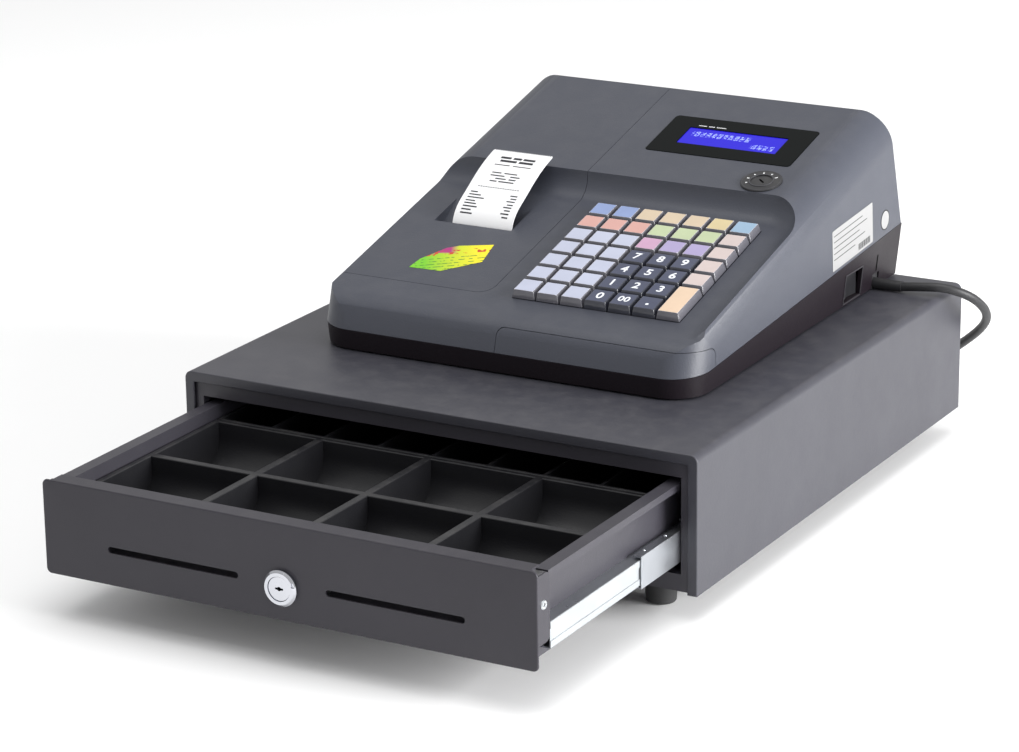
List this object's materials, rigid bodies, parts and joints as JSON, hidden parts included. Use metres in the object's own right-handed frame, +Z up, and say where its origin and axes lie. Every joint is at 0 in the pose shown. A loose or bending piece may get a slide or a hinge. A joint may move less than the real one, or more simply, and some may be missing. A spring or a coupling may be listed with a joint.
{
  "type": "cash register",
  "caption": "Desktop cash register with a sloped keyboard, receipt printer and pull-out cash drawer in a steel cabinet.",
  "frame": {"origin": "on the ground under the middle of the whole machine, with its drawer part way out", "axes": "+X to the operator's right, +Y to the back, +Z up"},
  "size_m": [0.4355, 0.7664, 0.2551],
  "materials": {
    "cabinet_paint": "satin charcoal powder coat",
    "frame_paint": "satin dark powder coat",
    "zinc": "bright zinc plate",
    "steel": "plain steel",
    "chrome": "polished chrome",
    "foot_rubber": "black rubber",
    "insert_black": "fine textured black",
    "case_upper": "fine textured dark blue-grey",
    "case_lower": "fine textured charcoal",
    "window_black": "gloss black",
    "lcd_blue": "lit blue liquid crystal glass",
    "switch_plastic": "fine black",
    "board_green": "circuit board",
    "transformer_steel": "laminated core",
    "platen_rubber": "dark rubber roller",
    "gear_white": "natural acetal",
    "paper": "white thermal paper",
    "key_grey": "clear cap over lavender grey",
    "key_navy": "clear cap over dark navy grey",
    "key_blue": "clear cap over blue",
    "key_amber": "clear cap over beige",
    "key_red": "clear cap over red",
    "key_green": "clear cap over light green",
    "key_violet": "clear cap over violet",
    "key_cream": "clear cap over cream",
    "key_orange": "clear cap over orange cream",
    "cord_black": "matt black sheath"
  },
  "bodies": {
    "cabinet": {"housing_cover": "cabinet_paint", "front_frame": "frame_paint", "chassis_tray": "frame_paint", "housing_feet": "foot_rubber", "slide_rails": "zinc", "latch_solenoid": "steel", "lower_case": "case_lower", "upper_case": "case_upper", "front_access_cover": "case_upper", "display_window": "window_black", "lcd_module": "lcd_blue", "mode_switch_bezel": "switch_plastic", "keyboard_board": "switch_plastic", "main_board": "board_green", "power_transformer": "transformer_steel", "printer_frame": "steel", "customer_display": "window_black", "cord_gland": "cord_black", "mains_cord": "cord_black", "cord_coil": "cord_black", "mains_plug": "cord_black"},
    "latch": {"latch_lever": "steel"},
    "cages": {"ball_cages": "zinc"},
    "drawer": {"drawer_front": "cabinet_paint", "drawer_body": "frame_paint", "drawer_runners": "zinc", "coin_tray": "insert_black", "note_tray": "insert_black", "drawer_striker": "steel", "lock_barrel": "chrome"},
    "drawer_lock": {"lock_plug": "chrome", "lock_cam": "steel"},
    "mode_switch": {"mode_switch_plug": "switch_plastic"},
    "printer_lid": {"printer_cover": "case_upper", "tear_bar": "zinc", "receipt_paper": "paper"},
    "platen": {"platen_roller": "platen_rubber", "feed_gear": "gear_white"},
    "roll": {"paper_roll": "paper"},
    "rocker": {"power_switch": "switch_plastic"},
    "key_0_body": {"key_0": "key_navy"},
    "key_1_body": {"key_1": "key_navy"},
    "key_2_body": {"key_2": "key_navy"},
    "key_3_body": {"key_3": "key_navy"},
    "key_4_body": {"key_4": "key_navy"},
    "key_5_body": {"key_5": "key_navy"},
    "key_6_body": {"key_6": "key_navy"},
    "key_7_body": {"key_7": "key_navy"},
    "key_8_body": {"key_8": "key_navy"},
    "key_9_body": {"key_9": "key_navy"},
    "key_00_body": {"key_00": "key_navy"},
    "key_dot_body": {"key_dot": "key_navy"},
    "total_key_body": {"total_key": "key_orange"},
    "department_keys_body": {"department_keys": "key_grey"},
    "blue_keys_body": {"blue_keys": "key_blue"},
    "amber_keys_body": {"amber_keys": "key_amber"},
    "red_keys_body": {"red_keys": "key_red"},
    "green_keys_body": {"green_keys": "key_green"},
    "violet_keys_body": {"violet_keys": "key_violet"},
    "cream_keys_body": {"cream_keys": "key_cream"}
  },
  "joints": [
    {"name": "drawer_slide", "type": "slide", "parent": "cabinet", "child": "drawer", "axis": [0, -1, 0], "range_m": [-0.193, 0.107]},
    {"name": "cage_slide", "type": "slide", "parent": "cabinet", "child": "cages", "axis": [0, -1, 0], "range_m": [-0.0965, 0.0535]},
    {"name": "lock_turn", "type": "hinge", "parent": "drawer", "child": "drawer_lock", "pos_m": [0, -0.3227, 0.056], "axis": [0, 1, 0], "range_deg": [0, 90]},
    {"name": "latch_tilt", "type": "hinge", "parent": "cabinet", "child": "latch", "pos_m": [0, 0.3107, 0.085], "axis": [1, 0, 0], "range_deg": [0, 8], "stiffness_Nm_per_rad": 0.05},
    {"name": "cover_hinge", "type": "hinge", "parent": "cabinet", "child": "printer_lid", "pos_m": [-0.09, 0.3027, 0.2312], "axis": [-1, 0, 0], "range_deg": [0, 60]},
    {"name": "platen_spin", "type": "hinge", "parent": "cabinet", "child": "platen", "pos_m": [-0.09, 0.0827, 0.153], "axis": [1, 0, 0], "continuous": true},
    {"name": "paper_roll_spin", "type": "hinge", "parent": "cabinet", "child": "roll", "pos_m": [-0.09, 0.1947, 0.167], "axis": [1, 0, 0], "continuous": true},
    {"name": "mode_turn", "type": "hinge", "parent": "cabinet", "child": "mode_switch", "pos_m": [0.1073, 0.1721, 0.22432], "axis": [0, -0.2453, 0.9694], "range_deg": [-60, 60]},
    {"name": "power_rocker", "type": "hinge", "parent": "cabinet", "child": "rocker", "pos_m": [0.143, 0.2387, 0.1335], "axis": [0, 0, 1], "range_deg": [0, 10]},
    {"name": "key_0_press", "type": "slide", "parent": "cabinet", "child": "key_0_body", "axis": [0, 0.2453, -0.9694], "range_m": [0, 0.003], "stiffness_N_per_m": 250, "springref_m": -0.001},
    {"name": "key_1_press", "type": "slide", "parent": "cabinet", "child": "key_1_body", "axis": [0, 0.2453, -0.9694], "range_m": [0, 0.003], "stiffness_N_per_m": 250, "springref_m": -0.001},
    {"name": "key_2_press", "type": "slide", "parent": "cabinet", "child": "key_2_body", "axis": [0, 0.2453, -0.9694], "range_m": [0, 0.003], "stiffness_N_per_m": 250, "springref_m": -0.001},
    {"name": "key_3_press", "type": "slide", "parent": "cabinet", "child": "key_3_body", "axis": [0, 0.2453, -0.9694], "range_m": [0, 0.003], "stiffness_N_per_m": 250, "springref_m": -0.001},
    {"name": "key_4_press", "type": "slide", "parent": "cabinet", "child": "key_4_body", "axis": [0, 0.2453, -0.9694], "range_m": [0, 0.003], "stiffness_N_per_m": 250, "springref_m": -0.001},
    {"name": "key_5_press", "type": "slide", "parent": "cabinet", "child": "key_5_body", "axis": [0, 0.2453, -0.9694], "range_m": [0, 0.003], "stiffness_N_per_m": 250, "springref_m": -0.001},
    {"name": "key_6_press", "type": "slide", "parent": "cabinet", "child": "key_6_body", "axis": [0, 0.2453, -0.9694], "range_m": [0, 0.003], "stiffness_N_per_m": 250, "springref_m": -0.001},
    {"name": "key_7_press", "type": "slide", "parent": "cabinet", "child": "key_7_body", "axis": [0, 0.2453, -0.9694], "range_m": [0, 0.003], "stiffness_N_per_m": 250, "springref_m": -0.001},
    {"name": "key_8_press", "type": "slide", "parent": "cabinet", "child": "key_8_body", "axis": [0, 0.2453, -0.9694], "range_m": [0, 0.003], "stiffness_N_per_m": 250, "springref_m": -0.001},
    {"name": "key_9_press", "type": "slide", "parent": "cabinet", "child": "key_9_body", "axis": [0, 0.2453, -0.9694], "range_m": [0, 0.003], "stiffness_N_per_m": 250, "springref_m": -0.001},
    {"name": "key_00_press", "type": "slide", "parent": "cabinet", "child": "key_00_body", "axis": [0, 0.2453, -0.9694], "range_m": [0, 0.003], "stiffness_N_per_m": 250, "springref_m": -0.001},
    {"name": "key_dot_press", "type": "slide", "parent": "cabinet", "child": "key_dot_body", "axis": [0, 0.2453, -0.9694], "range_m": [0, 0.003], "stiffness_N_per_m": 250, "springref_m": -0.001},
    {"name": "total_key_press", "type": "slide", "parent": "cabinet", "child": "total_key_body", "axis": [0, 0.2453, -0.9694], "range_m": [0, 0.003], "stiffness_N_per_m": 250, "springref_m": -0.001},
    {"name": "department_keys_press", "type": "slide", "parent": "cabinet", "child": "department_keys_body", "axis": [0, 0.2453, -0.9694], "range_m": [0, 0.003], "stiffness_N_per_m": 250, "springref_m": -0.001},
    {"name": "blue_keys_press", "type": "slide", "parent": "cabinet", "child": "blue_keys_body", "axis": [0, 0.2453, -0.9694], "range_m": [0, 0.003], "stiffness_N_per_m": 250, "springref_m": -0.001},
    {"name": "amber_keys_press", "type": "slide", "parent": "cabinet", "child": "amber_keys_body", "axis": [0, 0.2453, -0.9694], "range_m": [0, 0.003], "stiffness_N_per_m": 250, "springref_m": -0.001},
    {"name": "red_keys_press", "type": "slide", "parent": "cabinet", "child": "red_keys_body", "axis": [0, 0.2453, -0.9694], "range_m": [0, 0.003], "stiffness_N_per_m": 250, "springref_m": -0.001},
    {"name": "green_keys_press", "type": "slide", "parent": "cabinet", "child": "green_keys_body", "axis": [0, 0.2453, -0.9694], "range_m": [0, 0.003], "stiffness_N_per_m": 250, "springref_m": -0.001},
    {"name": "violet_keys_press", "type": "slide", "parent": "cabinet", "child": "violet_keys_body", "axis": [0, 0.2453, -0.9694], "range_m": [0, 0.003], "stiffness_N_per_m": 250, "springref_m": -0.001},
    {"name": "cream_keys_press", "type": "slide", "parent": "cabinet", "child": "cream_keys_body", "axis": [0, 0.2453, -0.9694], "range_m": [0, 0.003], "stiffness_N_per_m": 250, "springref_m": -0.001}
  ],
  "couplings": [
    {"joint": "cage_slide", "follows": "drawer_slide", "ratio": 0.5},
    {"joint": "paper_roll_spin", "follows": "platen_spin", "ratio": 0.2097}
  ]
}
